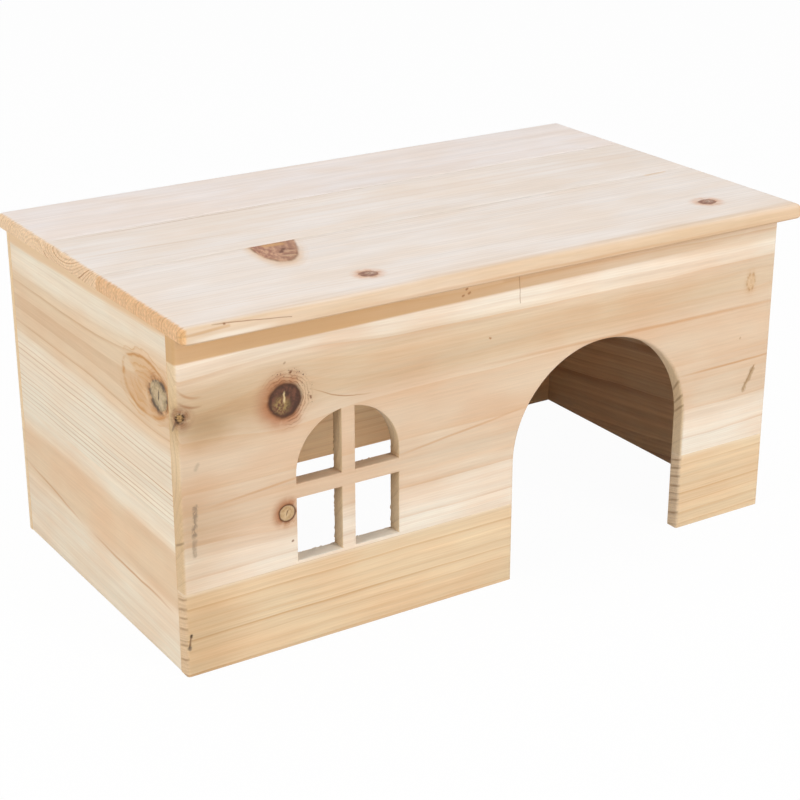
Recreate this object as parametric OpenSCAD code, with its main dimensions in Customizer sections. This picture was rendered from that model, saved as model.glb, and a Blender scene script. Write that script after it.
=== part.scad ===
// Wooden rabbit house: four walls of glued softwood boards, stapled at the corners, under a fixed flat roof.
// The origin lies on the ground below the middle of the roof, and the front looks towards -Y.

/* [House] */
// Width of the front, corner to corner
body_w = 410; // [380:1:480]
// Depth from the front face to the back face
body_d = 223; // [170:1:300]
// Height of the walls, from the ground to the roof
wall_h = 196; // [180:1:240]
// Rounding of the four upright corners
corner_r = 2.5; // [1:0.25:4]

/* [Boards] */
// Thickness of the front
front_t = 9; // [8:0.5:12]
// Thickness of the sides and the back
wall_t = 6; // [5:0.5:10]
// Thickness of the roof
roof_t = 9; // [8:0.5:12]

/* [Roof] */
// How far the roof stands out over the front
overhang_front = 17; // [4:0.5:30]
// How far it stands out over the back
overhang_back = 6; // [2:0.5:20]
// How far it stands out over each side
overhang_side = 3; // [1:0.5:15]
// Rounding along the roof's top edges
roof_top_r = 4; // [1:0.25:5]
// Rounding along the roof's lower edges
roof_low_r = 2; // [0.5:0.25:2.5]
// Rounding of the roof's corners, seen from above
roof_corner_r = 4; // [1:0.25:8]

/* [Doorway] */
// Width of the doorway
door_w = 128; // [90:1:150]
// Height of the doorway at the top of its arch
door_h = 139.5; // [100:0.5:160]
// Middle of the doorway, to the right of the middle of the front
door_x = 73; // [60:1:95]
// Rounding of the doorway's outer edge
door_edge_r = 2; // [0.5:0.25:3]

/* [Window] */
// Width of the window
window_w = 65.5; // [45:0.5:80]
// Height of the window, from its sill to the top of its arch
window_h = 84; // [70:0.5:100]
// Middle of the window, to the left of the middle of the front
window_x = 103; // [80:1:130]
// Height of the sill above the ground
sill_h = 52; // [52:0.5:70]
// Height of the two lower panes
pane_h = 37.5; // [25:0.5:40]
// Width of the window's two crossing bars
bar_w = 8.5; // [5:0.25:14]

/* [Glue lines] */
// Height of the glue line in the front
front_joint = 50; // [35:1:51]
// Height of the glue line in the left side
left_joint = 86; // [40:1:88]
// Height of the glue line in the right side
right_joint = 70; // [40:1:85]
// Height of the glue line in the back
back_joint = 112; // [110:1:140]
// Width of the roof's front board
roof_front_w = 103; // [60:1:110]
// Width of the roof's back board
roof_back_w = 72; // [40:1:75]

/* [Fasteners] */
// Width of a staple's back
staple_w = 10; // [6:0.5:12]
// Length of a staple's legs
staple_leg = 22; // [16:0.5:28]
// Thickness of a staple's wire
wire_t = 1.2; // [0.8:0.1:1.4]
// How far each staple is sunk below the face
staple_sunk = 1; // [0.5:0.25:2]
// Height of the lowest staples, and of the highest ones below the roof
staple_inset = 21; // [16:1:30]
// Diameter of a headless roof pin
pin_d = 1.2; // [0.8:0.1:1.6]
// Length of a roof pin
pin_len = 22; // [16:0.5:26]
// How far each pin is sunk below the roof's face
pin_sunk = 1; // [0.5:0.25:2]

/* [Hidden] */
$fn = 96;
// How far a cutter runs past the face that it opens
past = 1;
roof_w = body_w + 2 * overhang_side;
roof_d = body_d + overhang_front + overhang_back;
// The front face, and the ends of the side boards
front_y = overhang_front - roof_d / 2;
back_y = front_y + body_d;
side_y0 = front_y + front_t;
side_y1 = back_y - wall_t;
// Middle of a side board's thickness, and of the other walls
side_mid = body_w / 2 - wall_t / 2;
front_mid = front_y + front_t / 2;
back_mid = back_y - wall_t / 2;
// Roof glue lines
roof_joint_front = roof_front_w - roof_d / 2;
roof_joint_back = roof_d / 2 - roof_back_w;
// Arches
door_r = door_w / 2;
door_spring = door_h - door_r;
window_r = window_w / 2;
window_spring = sill_h + window_h - window_r;
// Staples sit low, half way up and high
staple_z = [staple_inset, wall_h / 2, wall_h - staple_inset];
// Places of the pins, as shares of the width and of the depth
pin_x = [for (i = [-2:2]) i * 0.21 * body_w];
pin_y = [for (i = [-1:1]) front_y + body_d / 2 + i * 0.3 * body_d];
pine = "#e3c9a4";
pale_pine = "#ecdcc6";
steel = "#a9abad";

// A strip's outline with its upper and lower corners rounded
module rounded_strip(length, height, upper_r, lower_r) {
    translate([-length / 2, lower_r])
        square([length, height - upper_r - lower_r]);
    translate([upper_r - length / 2, height / 2])
        square([length - 2 * upper_r, height / 2]);
    translate([lower_r - length / 2, 0])
        square([length - 2 * lower_r, height / 2]);
    for (side = [-1, 1]) {
        translate([side * (length / 2 - upper_r), height - upper_r])
            circle(r = upper_r);
        translate([side * (length / 2 - lower_r), lower_r])
            circle(r = lower_r);
    }
}

// A panel's outline from above, its two outer corners rounded; the outer face lies on y = 0
module panel_plan(thickness) {
    translate([corner_r - body_w / 2, 0])
        square([body_w - 2 * corner_r, thickness]);
    translate([-body_w / 2, corner_r])
        square([body_w, thickness - corner_r]);
    for (side = [-1, 1])
        translate([side * (body_w / 2 - corner_r), corner_r])
            circle(r = corner_r);
}

// Everything between two heights
module slice_z(low, high) {
    translate([-body_w, -body_w, low])
        cube([2 * body_w, 2 * body_w, high - low]);
}

// Everything between two places from front to back
module slice_y(near, far) {
    translate([-body_w, near, 0])
        cube([2 * body_w, far - near, 2 * wall_h]);
}

// An outline in the front's plane, run right through the front
module through_front() {
    translate([0, side_y0 + past, 0])
        rotate([90, 0, 0])
            linear_extrude(front_t + 2 * past)
                children();
}

// Section of what the rounding takes off an edge that lies on the origin
module edge_waste(r) {
    difference() {
        translate([-past, -past])
            square([r + past, r + past]);
        translate([r, r])
            circle(r = r);
    }
}

module doorway() {
    through_front() {
        translate([door_x - door_r, -past])
            square([door_w, door_spring + past]);
        translate([door_x, door_spring])
            circle(r = door_r);
    }
    // Round the outer edge of the arch, then of the two uprights
    translate([door_x, front_y, door_spring])
        rotate([-90, 0, 0])
            rotate_extrude()
                translate([door_r, 0])
                    edge_waste(door_edge_r);
    for (side = [0, 1])
        translate([door_x, front_y, -past])
            mirror([side, 0, 0])
                linear_extrude(door_spring + past)
                    translate([door_r, 0])
                        edge_waste(door_edge_r);
}

module window_panes() {
    through_front()
        difference() {
            union() {
                translate([-window_x - window_r, sill_h])
                    square([window_w, window_h - window_r]);
                translate([-window_x, window_spring])
                    circle(r = window_r);
            }
            translate([-window_x - bar_w / 2, 0])
                square([bar_w, wall_h]);
            translate([-window_x - window_w, sill_h + pane_h])
                square([2 * window_w, bar_w]);
        }
}

// A staple driven along +Y from a face on y = 0
module staple() {
    translate([-wire_t / 2, staple_sunk, -staple_w / 2])
        cube([wire_t, wire_t, staple_w]);
    for (end = [-1, 1])
        translate([-wire_t / 2, staple_sunk, end * (staple_w - wire_t) / 2 - wire_t / 2])
            cube([wire_t, staple_leg, wire_t]);
}

// The slot that the staple is driven down
module staple_slot() {
    staple();
    translate([-wire_t / 2, -past, -staple_w / 2])
        cube([wire_t, staple_sunk + past, staple_w]);
}

// A row of staples up one corner, or of their slots
module at_front_corner(side) {
    for (z = staple_z)
        translate([side * side_mid, front_y, z])
            children();
}

module at_back_corner(side) {
    for (z = staple_z)
        translate([side * side_mid, back_y, z])
            mirror([0, 1, 0])
                children();
}

module all_staple_slots() {
    for (side = [-1, 1]) {
        at_front_corner(side)
            staple_slot();
        at_back_corner(side)
            staple_slot();
    }
}

// A pin, its head below the roof's top face on z = 0
module pin() {
    translate([0, 0, -pin_sunk - pin_len])
        cylinder(d = pin_d, h = pin_len);
}

module pin_hole() {
    translate([0, 0, -pin_sunk - pin_len])
        cylinder(d = pin_d, h = pin_len + pin_sunk + past);
}

// Rows of pins over the front or back, and over the sides
module along_wall(y) {
    for (x = pin_x)
        translate([x, y, wall_h + roof_t])
            children();
}

module along_side(side) {
    for (y = pin_y)
        translate([side * side_mid, y, wall_h + roof_t])
            children();
}

module all_pin_holes() {
    along_wall(front_mid)
        pin_hole();
    along_wall(back_mid)
        pin_hole();
    for (side = [-1, 1])
        along_side(side)
            pin_hole();
}

// The whole roof, rounded along every edge and pinned
module roof_slab() {
    difference() {
        translate([0, 0, wall_h])
            intersection() {
                rotate([90, 0, 90])
                    translate([0, 0, -roof_w / 2])
                        linear_extrude(roof_w)
                            rounded_strip(roof_d, roof_t, roof_top_r, roof_low_r);
                rotate([90, 0, 0])
                    translate([0, 0, -roof_d / 2])
                        linear_extrude(roof_d)
                            rounded_strip(roof_w, roof_t, roof_top_r, roof_low_r);
                linear_extrude(roof_t)
                    translate([0, -roof_d / 2])
                        rounded_strip(roof_w, roof_d, roof_corner_r, roof_corner_r);
            }
        all_pin_holes();
    }
}

module front_panel() {
    difference() {
        translate([0, front_y, 0])
            linear_extrude(wall_h)
                panel_plan(front_t);
        doorway();
        window_panes();
        all_staple_slots();
        all_pin_holes();
    }
}

module back_panel() {
    difference() {
        translate([0, back_y, 0])
            mirror([0, 1, 0])
                linear_extrude(wall_h)
                    panel_plan(wall_t);
        all_staple_slots();
        all_pin_holes();
    }
}

module side_panel(side) {
    difference() {
        translate([side * side_mid - wall_t / 2, side_y0, 0])
            cube([wall_t, side_y1 - side_y0, wall_h]);
        all_staple_slots();
        all_pin_holes();
    }
}

// The boards, one to a node
module roof_front_board() {
    color(pale_pine)
        intersection() {
            roof_slab();
            slice_y(-roof_d, roof_joint_front);
        }
}

module roof_middle_board() {
    color(pale_pine)
        intersection() {
            roof_slab();
            slice_y(roof_joint_front, roof_joint_back);
        }
}

module roof_back_board() {
    color(pale_pine)
        intersection() {
            roof_slab();
            slice_y(roof_joint_back, roof_d);
        }
}

module front_upper_board() {
    color(pine)
        intersection() {
            front_panel();
            slice_z(front_joint, wall_h);
        }
}

// The doorway parts the lower board in two
module front_lower_board(side) {
    intersection() {
        front_panel();
        slice_z(0, front_joint);
        translate([door_x + (side < 0 ? -body_w : 0), -body_w, 0])
            cube([body_w, 2 * body_w, wall_h]);
    }
}

module front_lower_left_board() {
    color(pine)
        front_lower_board(-1);
}

module front_lower_right_board() {
    color(pine)
        front_lower_board(1);
}

module left_upper_board() {
    color(pine)
        intersection() {
            side_panel(-1);
            slice_z(left_joint, wall_h);
        }
}

module left_lower_board() {
    color(pine)
        intersection() {
            side_panel(-1);
            slice_z(0, left_joint);
        }
}

module right_upper_board() {
    color(pine)
        intersection() {
            side_panel(1);
            slice_z(right_joint, wall_h);
        }
}

module right_lower_board() {
    color(pine)
        intersection() {
            side_panel(1);
            slice_z(0, right_joint);
        }
}

module back_upper_board() {
    color(pine)
        intersection() {
            back_panel();
            slice_z(back_joint, wall_h);
        }
}

module back_lower_board() {
    color(pine)
        intersection() {
            back_panel();
            slice_z(0, back_joint);
        }
}

// The fasteners, one row to a node
module front_left_staples() {
    color(steel)
        at_front_corner(-1)
            staple();
}

module front_right_staples() {
    color(steel)
        at_front_corner(1)
            staple();
}

module back_left_staples() {
    color(steel)
        at_back_corner(-1)
            staple();
}

module back_right_staples() {
    color(steel)
        at_back_corner(1)
            staple();
}

module roof_front_pins() {
    color(steel)
        along_wall(front_mid)
            pin();
}

module roof_back_pins() {
    color(steel)
        along_wall(back_mid)
            pin();
}

module roof_left_pins() {
    color(steel)
        along_side(-1)
            pin();
}

module roof_right_pins() {
    color(steel)
        along_side(1)
            pin();
}

roof_front_board();
roof_middle_board();
roof_back_board();
front_upper_board();
front_lower_left_board();
front_lower_right_board();
left_upper_board();
left_lower_board();
right_upper_board();
right_lower_board();
back_upper_board();
back_lower_board();
front_left_staples();
front_right_staples();
back_left_staples();
back_right_staples();
roof_front_pins();
roof_back_pins();
roof_left_pins();
roof_right_pins();
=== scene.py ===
import math
from functools import partial

import bpy
import numpy as np
from mathutils.geometry import delaunay_2d_cdt
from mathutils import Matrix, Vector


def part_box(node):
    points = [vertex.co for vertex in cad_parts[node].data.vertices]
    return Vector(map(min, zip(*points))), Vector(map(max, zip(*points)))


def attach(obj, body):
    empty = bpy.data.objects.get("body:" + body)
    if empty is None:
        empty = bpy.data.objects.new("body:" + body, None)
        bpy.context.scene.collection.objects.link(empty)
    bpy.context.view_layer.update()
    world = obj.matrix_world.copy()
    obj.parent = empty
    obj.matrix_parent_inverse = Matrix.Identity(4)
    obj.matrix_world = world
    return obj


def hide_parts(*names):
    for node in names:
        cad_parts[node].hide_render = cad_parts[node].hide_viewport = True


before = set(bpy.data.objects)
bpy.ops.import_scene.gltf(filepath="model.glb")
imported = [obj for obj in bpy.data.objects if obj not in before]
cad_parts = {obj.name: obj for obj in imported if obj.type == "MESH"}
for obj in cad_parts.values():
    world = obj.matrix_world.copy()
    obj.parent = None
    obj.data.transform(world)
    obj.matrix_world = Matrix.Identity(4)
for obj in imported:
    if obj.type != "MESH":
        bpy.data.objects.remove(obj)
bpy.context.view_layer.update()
mm = 0.001
print("frame loaded:", len(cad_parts), "nodes")


# shapes, all in millimetres until the mesh is written

def arcRows(radius, count=5):
    # distances from an edge at which its rounding is cut into even turns: r(1 - cos t), t up to a right angle
    turn = np.linspace(0, math.pi / 2, count + 1)[1:]
    return radius * (1 - np.cos(turn))


def roundEdge(distance, radius):
    # depth of a rounded edge: r - sqrt(r^2 - (r - d)^2) within r of the edge, nothing further in
    short = np.clip(radius - distance, 0, radius)
    return radius - np.sqrt(radius ** 2 - short ** 2)


def ripple(a, b, seed=0.0):
    # smooth waviness from -1 to 1: three crossed sine waves whose lengths share no multiple
    first = np.sin(a * 1.00 + 1.7 * np.sin(b * 0.63 + seed) + seed)
    second = np.sin(a * 2.31 + b * 1.13 + 2.1 * seed)
    third = np.sin(a * 5.17 - b * 0.71 + 0.7 * seed)
    return (first + 0.6 * second + 0.4 * third) / 2


def spread(low, high, step, lowRows=(), highRows=()):
    # even places from low to high, then closer ones at each end
    inner = np.linspace(low, high, max(2, int(round((high - low) / step)) + 1))[1:-1]
    near = np.concatenate([low + np.array(lowRows), high - np.array(highRows)])
    if len(near):
        inner = inner[np.abs(inner[:, None] - near).min(axis=1) > 0.4 * step]
    return np.unique(np.round(np.concatenate([[low, high], inner, near]), 5))


def offsetLoop(loop, distance):
    # a closed outline moved sideways, to the right of its run, with mitred corners
    ahead = np.roll(loop, -1, axis=0) - loop
    ahead /= np.linalg.norm(ahead, axis=1)[:, None]
    right = np.stack([ahead[:, 1], -ahead[:, 0]], axis=1)
    before = np.roll(right, 1, axis=0)
    mitre = (right + before) / (1 + (right * before).sum(axis=1))[:, None]
    return loop + mitre * distance


def clearOf(points, taken, gap):
    # the points with nothing of the other list in their own cell of this size or the cells round it
    low = np.minimum(points.min(axis=0), taken.min(axis=0)) - 2 * gap
    size = np.ceil((np.maximum(points.max(axis=0), taken.max(axis=0)) - low) / gap).astype(int) + 3
    used = np.zeros(size, bool)
    cell = ((taken - low) / gap).astype(int)
    for du in (-1, 0, 1):
        for dv in (-1, 0, 1):
            used[cell[:, 0] + du, cell[:, 1] + dv] = True
    mine = ((points - low) / gap).astype(int)
    return points[~used[mine[:, 0], mine[:, 1]]]


def patch(centre, half, step):
    # an even block of close points
    u = np.arange(centre[0] - half[0], centre[0] + half[0] + step / 2, step)
    v = np.arange(centre[1] - half[1], centre[1] + half[1] + step / 2, step)
    return np.stack(np.meshgrid(u, v), axis=-1).reshape(-1, 2)


def sheet(loops, rows, patches, inside, step):
    # flat net over an outlined face: outlines, rows along the edges, close patches, then an even fill
    outline = np.concatenate(loops)
    rows = np.concatenate([outline] + list(rows))
    for block in patches:
        block = block[inside(block[:, 0], block[:, 1])]
        if len(block):
            rows = np.concatenate([rows, clearOf(block, rows, 0.3)])
    low, high = outline.min(axis=0), outline.max(axis=0)
    fill = patch((low + high) / 2, (high - low) / 2 - step / 2, step)
    fill = fill[inside(fill[:, 0], fill[:, 1])]
    points = np.concatenate([rows, clearOf(fill, rows, 0.55 * step)])
    edges, loopIds, start = [], [], 0
    for loop in loops:
        ids = np.arange(start, start + len(loop))
        edges += np.stack([ids, np.roll(ids, -1)], axis=1).tolist()
        loopIds.append(ids)
        start += len(loop)
    made = delaunay_2d_cdt(points.tolist(), edges, [], 0, 1e-5)
    if len(made[0]) != len(points):
        raise ValueError("two points of a sheet lie in the same place")
    triangles = np.array(made[2])
    middle = points[triangles].mean(axis=1)
    return points, triangles[inside(middle[:, 0], middle[:, 1])], loopIds


sides = {  # how each wall stands: along its face, up its face, and inwards through its thickness
    "front": ((1, 0, 0), (0, 0, 1), (0, 1, 0)),
    "back": ((1, 0, 0), (0, 0, 1), (0, -1, 0)),
    "left": ((0, 1, 0), (0, 0, 1), (1, 0, 0)),
    "right": ((0, 1, 0), (0, 0, 1), (-1, 0, 0)),
    "roof": ((1, 0, 0), (0, 1, 0), (0, 0, -1)),
}


def stand(node, side):
    # a board's place, read from its node: ranges on its face, thickness, and where the face lies
    low, high = (np.array(corner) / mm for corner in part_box(node))
    u, v, w = (np.array(axis) for axis in sides[side])
    face = low if w.sum() > 0 else high
    return {
        "u": (float(low @ u), float(high @ u)), "v": (float(low @ v), float(high @ v)),
        "thick": float((high - low) @ np.abs(w)), "origin": np.abs(w) * face, "axes": np.stack([u, v, w]),
    }


def boardPiece(name, node, place, net, outer, inner, rows=4, ragged=None):
    # closed board: an outer and an inner sheet on one net, joined through the thickness at each outline
    points, triangles, loops = net
    u, v = points[:, 0], points[:, 1]
    outerDepth = outer(u, v)
    innerDepth = place["thick"] - inner(u, v)
    shift = np.zeros_like(points) if ragged is None else ragged(points, loops)
    front = np.column_stack([points, outerDepth])
    back = np.column_stack([points + shift, innerDepth])
    layers, faces, base = [front, back], [triangles, triangles[:, ::-1] + len(points)], 2 * len(points)
    share = np.linspace(0, 1, rows + 1)[1:-1]
    for ids in loops:
        count = len(ids)
        ring = front[ids][None] + (back[ids] - front[ids])[None] * share[:, None, None]
        ring[:, :, :2] = front[ids][None, :, :2] + shift[ids][None] * (share ** 3)[:, None, None]
        layers.append(ring.reshape(-1, 3))
        between = base + np.arange(len(share) * count).reshape(len(share), count)
        tracks = np.vstack([ids, between, ids + len(points)])
        near, far = tracks[:-1], tracks[1:]
        square = [near, far, np.roll(far, -1, axis=1), np.roll(near, -1, axis=1)]
        square = np.stack(square, axis=-1).reshape(-1, 4)
        faces += [square[:, [0, 1, 2]], square[:, [0, 2, 3]]]
        base += len(share) * count
    local = np.concatenate(layers)
    faces = np.concatenate(faces)
    if np.linalg.det(place["axes"]) > 0:
        faces = faces[:, ::-1]
    world = (place["origin"] + local @ place["axes"]) * mm
    mesh = bpy.data.meshes.new(name)
    mesh.from_pydata(world.tolist(), [], faces.tolist())
    mesh.polygons.foreach_set("use_smooth", np.ones(len(faces), bool))
    mesh.update()
    mesh.set_sharp_from_angle(angle=math.radians(40))
    piece = bpy.data.objects.new(name, mesh)
    bpy.context.scene.collection.objects.link(piece)
    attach(piece, "root")
    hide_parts(node)
    return piece


def rectLoop(u, v, step, rowsAt):
    # a rectangle's outline, anticlockwise, with close points where a rounded edge meets it
    us = spread(u[0], u[1], step, rowsAt["low u"], rowsAt["high u"])
    vs = spread(v[0], v[1], step, rowsAt["low v"], rowsAt["high v"])
    low = np.column_stack([us[:-1], np.full(len(us) - 1, v[0])])
    right = np.column_stack([np.full(len(vs) - 1, u[1]), vs[:-1]])
    high = np.column_stack([us[:0:-1], np.full(len(us) - 1, v[1])])
    left = np.column_stack([np.full(len(vs) - 1, u[0]), vs[:0:-1]])
    return np.concatenate([low, right, high, left]), us, vs


def plainBoard(name, node, side, edges, innerEdges, step=2.5, patches=(), hollows=None):
    # straight board: each edge of each face has its own rounding, and hollows deepen the outer face
    place = stand(node, side)
    u, v = place["u"], place["v"]
    keys = ("low u", "high u", "low v", "high v")
    rowsAt = {key: arcRows(edges[key], 5 if edges[key] > 1 else 2) for key in keys}
    loop, us, vs = rectLoop(u, v, step, rowsAt)
    rows = []
    for key, line, other in zip(keys, (*u, *v), (vs, vs, us, us)):
        sign = 1 if key.startswith("low") else -1
        for gap in rowsAt[key]:
            flat = np.full(len(other) - 2, line + sign * gap)
            pair = [flat, other[1:-1]] if key.endswith("u") else [other[1:-1], flat]
            rows.append(np.column_stack(pair))
    rows = np.unique(np.round(np.concatenate(rows), 4), axis=0)

    def within(a, b):
        return (a > u[0]) & (a < u[1]) & (b > v[0]) & (b < v[1])

    def cut(a, b, radii):
        gaps = (a - u[0], u[1] - a, b - v[0], v[1] - b)
        return np.max([roundEdge(gap, radii[key]) for gap, key in zip(gaps, keys)], axis=0)

    def outer(a, b):
        return np.minimum(cut(a, b, edges) + (hollows(a, b) if hollows else 0), place["thick"] - 1)

    net = sheet([loop], [rows], patches, within, step)
    return boardPiece(name, node, place, net, outer, lambda a, b: cut(a, b, innerEdges))


def alongLine(a, b, start, end):
    # distance from a straight stroke, and how far along it
    start, run = np.array(start), np.array(end) - np.array(start)
    share = np.clip(((a - start[0]) * run[0] + (b - start[1]) * run[1]) / (run @ run), 0, 1)
    return np.hypot(a - start[0] - share * run[0], b - start[1] - share * run[1]), share


def tear(a, b, start, end, width, depth, seed):
    # torn grain: a stroke that is deepest along its middle, with a splintered rim
    far, share = alongLine(a, b, start, end)
    half = width / 2 * (0.75 + 0.45 * ripple(share * 40, far * 2, seed))
    hollow = depth * np.clip(1 - (far / np.maximum(half, 0.1)) ** 2, 0, 1)
    return hollow * (0.7 + 0.3 * ripple(a * 3, b * 1.3, seed))


def edgeSet(lowU, highU, lowV, highV):
    return {"low u": lowU, "high u": highU, "low v": lowV, "high v": highV}


# front

frontOpenings = {
    "door middle": 73.0, "door half": 64.0, "door spring": 75.5, "door round": 2.0, "door inner ease": 0.4,
    "window middle": -103.0, "window half": 32.75, "window spring": 103.25,
    "sill": 52.0, "pane top": 89.5, "bar": 8.5, "pane ease": 0.5, "splinter": 0.55,
    "arch points": 104, "pane arc points": 40, "pane step": 0.9,  # how finely the outlines are cut
}
frontWear = {
    "corner round": 2.5, "ground ease": 0.8, "glue ease": 0.12,
    "inner ends": 0.3, "inner ground": 0.5, "inner glue": 0.05,
    "tears": [  # two scuffs at the left and a gouge at the right: from, to, width and depth
        ((-197.6, 99.0), (-197.9, 83.0), 3.2, 0.7),
        ((-198.2, 79.0), (-198.0, 72.0), 2.2, 0.4),
        ((193.3, 98.5), (185.4, 84.1), 3.0, 0.8),
    ],
    "dishes": [((-142, 148), 9.5, 0.25), ((-142, 82.5), 5.0, 0.3), ((-203.5, 152), 3.0, 0.5)],  # sunk knots
    "close nets": [  # where the net is finer: middle, half sizes and step
        ((-197.8, 86), (3.5, 16), 0.5), ((189.3, 91.3), (6.5, 9.5), 0.5), ((-142, 148), (13, 13), 0.8),
        ((-142, 82.5), (7, 7), 0.6), ((-203, 152), (2.2, 6), 0.5),
    ],
    "staple slot": ((-202.3, 25.0), (-203.5, 17.5), 1.2, 0.8), "slot wall": 0.25,
    "slot net": ((-203, 21.2), (1.9, 6.5), 0.35),
}


def doorGap(a, b):
    # distance outside the doorway: from its uprights below the spring of the arch, from its circle above
    o = frontOpenings
    below = np.abs(a - o["door middle"]) - o["door half"]
    arch = np.hypot(a - o["door middle"], b - o["door spring"]) - o["door half"]
    return np.where(b > o["door spring"], arch, below)


def paneGap(a, b):
    # distance outside the window's panes: outside the arched opening, or on its bars
    o = frontOpenings
    side = np.abs(a - o["window middle"])
    arch = np.hypot(a - o["window middle"], b - o["window spring"]) - o["window half"]
    opening = np.maximum(np.where(b > o["window spring"], arch, side - o["window half"]), o["sill"] - b)
    upright = o["bar"] / 2 - side
    rail = o["bar"] / 2 - np.abs(b - o["pane top"] - o["bar"] / 2)
    return np.max([opening, upright, rail], axis=0)


def paneLoops(step):
    # the four panes, clockwise, so that their wood lies to the left of the run
    o = frontOpenings
    m, h, half = o["window middle"], o["window half"], o["bar"] / 2
    top = o["pane top"] + o["bar"]
    rise = o["window spring"]
    loops = []
    for sign in (-1, 1):
        lowPane = np.array([[half, o["sill"]], [half, o["pane top"]], [h, o["pane top"]], [h, o["sill"]]])
        angle = np.linspace(math.asin(half / h), math.pi / 2, o["pane arc points"])
        arc = np.column_stack([h * np.sin(angle), rise + h * np.cos(angle)])
        highPane = np.concatenate([[[half, top]], arc, [[h, top]]])
        for corners in (lowPane, highPane):
            after = np.roll(corners, -1, axis=0)
            runs = []
            for first, second in zip(corners, after):
                pieces = max(1, int(round(np.linalg.norm(second - first) / step)))
                share = np.arange(pieces)[:, None] / pieces
                runs.append(first + (second - first) * share)
            loop = np.concatenate(runs)
            loop = np.column_stack([m + sign * loop[:, 0], loop[:, 1]])
            loops.append(loop if sign > 0 else loop[::-1])
    return loops


def makeFrontUpper(step=2.2):
    o, wear = frontOpenings, frontWear
    place = stand("front_upper_board", "front")
    u, v = place["u"], place["v"]
    corner, lip = arcRows(wear["corner round"]), arcRows(o["door round"])
    doorLow, doorHigh = o["door middle"] - o["door half"], o["door middle"] + o["door half"]
    lowLeft = spread(u[0], doorLow, step, corner, lip)
    lowRight = spread(doorHigh, u[1], step, lip, corner)
    top = spread(u[0], u[1], step, corner, corner)
    side, jamb = spread(v[0], v[1], step), spread(v[0], o["door spring"], step)
    turn = np.linspace(math.pi, 0, o["arch points"])
    arch = np.column_stack([o["door middle"] + o["door half"] * np.cos(turn),
                            o["door spring"] + o["door half"] * np.sin(turn)])
    flat = lambda values, height: np.column_stack([values, np.full(len(values), height)])
    upright = lambda x, values: np.column_stack([np.full(len(values), x), values])
    outline = np.concatenate([
        flat(lowLeft[:-1], v[0]), upright(doorLow, jamb[:-1]), arch[:-1], upright(doorHigh, jamb[:0:-1]),
        flat(lowRight[:-1], v[0]), upright(u[1], side[:-1]),
        flat(top[:0:-1], v[1]), upright(u[0], side[:0:-1]),
    ])
    panes = paneLoops(o["pane step"])
    rows = [upright(x, side[1:-1]) for x in (*(u[0] + corner), *(u[1] - corner))]
    for gap in lip:
        rows += [upright(doorLow - gap, jamb[1:-1]), upright(doorHigh + gap, jamb[1:-1])]
        spot = np.array([o["door middle"], o["door spring"]])
        rows.append(spot + (arch - spot) * (1 + gap / o["door half"]))
    rows += [offsetLoop(loop, -gap) for loop in panes for gap in arcRows(o["pane ease"], 2)]
    patches = [patch(*close) for close in wear["close nets"]]

    def inside(a, b):
        within = (a > u[0]) & (a < u[1]) & (b > v[0]) & (b < v[1])
        return within & (doorGap(a, b) > 0) & (paneGap(a, b) > 0)

    def outer(a, b):
        cut = np.max([roundEdge(a - u[0], wear["corner round"]), roundEdge(u[1] - a, wear["corner round"]),
                      roundEdge(doorGap(a, b), o["door round"]), roundEdge(paneGap(a, b), o["pane ease"]),
                      roundEdge(b - v[0], wear["glue ease"])], axis=0)
        marks = sum(tear(a, b, *scuff, seed) for seed, scuff in enumerate(wear["tears"]))
        for spot, size, dish in wear["dishes"]:
            marks = marks + dish * np.clip(1 - np.hypot(a - spot[0], b - spot[1]) / size, 0, 1) ** 0.5
        return cut + marks

    def ragged(points, loops):
        # splintered back edges: bites of uneven size along each pane's outline, in bursts between clean runs
        shift = np.zeros_like(points)
        chance = np.random.default_rng(5)
        for number, ids in enumerate(loops[1:]):
            loop = points[ids]
            away = loop - offsetLoop(loop, -1.0)
            reach = np.cumsum(np.linalg.norm(loop - np.roll(loop, 1, axis=0), axis=1))
            burst = np.clip(0.35 + ripple(reach * 0.13, reach * 0.05, number * 1.3), 0.08, 1)
            bite = chance.random(len(ids)) ** 2.5 * 1.6 - 0.35
            shift[ids] = away * (o["splinter"] * burst * bite)[:, None]
        return shift

    net = sheet([outline] + panes, rows, patches, inside, step)
    return boardPiece("frontUpperBoard", "front_upper_board", place, net, outer,
                      lambda a, b: roundEdge(doorGap(a, b), o["door inner ease"]), rows=6, ragged=ragged)


def makeFrontLower(side):
    wear, o = frontWear, frontOpenings
    node = f"front_lower_{side}_board"
    start, end, width, deep = wear["staple slot"]

    def stapleSlot(a, b):
        far, _ = alongLine(a, b, start, end)
        return deep * np.clip((width / 2 - far) / wear["slot wall"], 0, 1)

    left = side == "left"
    corner, lip = wear["corner round"], o["door round"]
    edges = edgeSet(*((corner, lip) if left else (lip, corner)), wear["ground ease"], wear["glue ease"])
    innerEdges = edgeSet(wear["inner ends"], wear["inner ends"], wear["inner ground"], wear["inner glue"])
    return plainBoard(f"frontLower{side.capitalize()}Board", node, "front", edges, innerEdges,
                      step=2.2, patches=[patch(*wear["slot net"])] if left else [],
                      hollows=stapleSlot if left else None)


frontBoards = [makeFrontUpper(), makeFrontLower("left"), makeFrontLower("right")]
print("front:", [len(piece.data.polygons) for piece in frontBoards])


# sides and back

wallWear = {
    "end ease": 0.25, "ground ease": 0.8, "glue ease": 0.12, "corner round": 2.5,
    "inner ends": 0.2, "inner ground": 0.5, "inner glue": 0.05,
    "slots at": [(x, z) for x in (-202.0, 202.0) for z in (21.0, 98.0, 175.0)],
    "slot half": (0.8, 5.2), "slot deep": 1.05, "slot wall": 0.2, "slot net": ((1.5, 6.2), 0.3),
}


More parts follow.
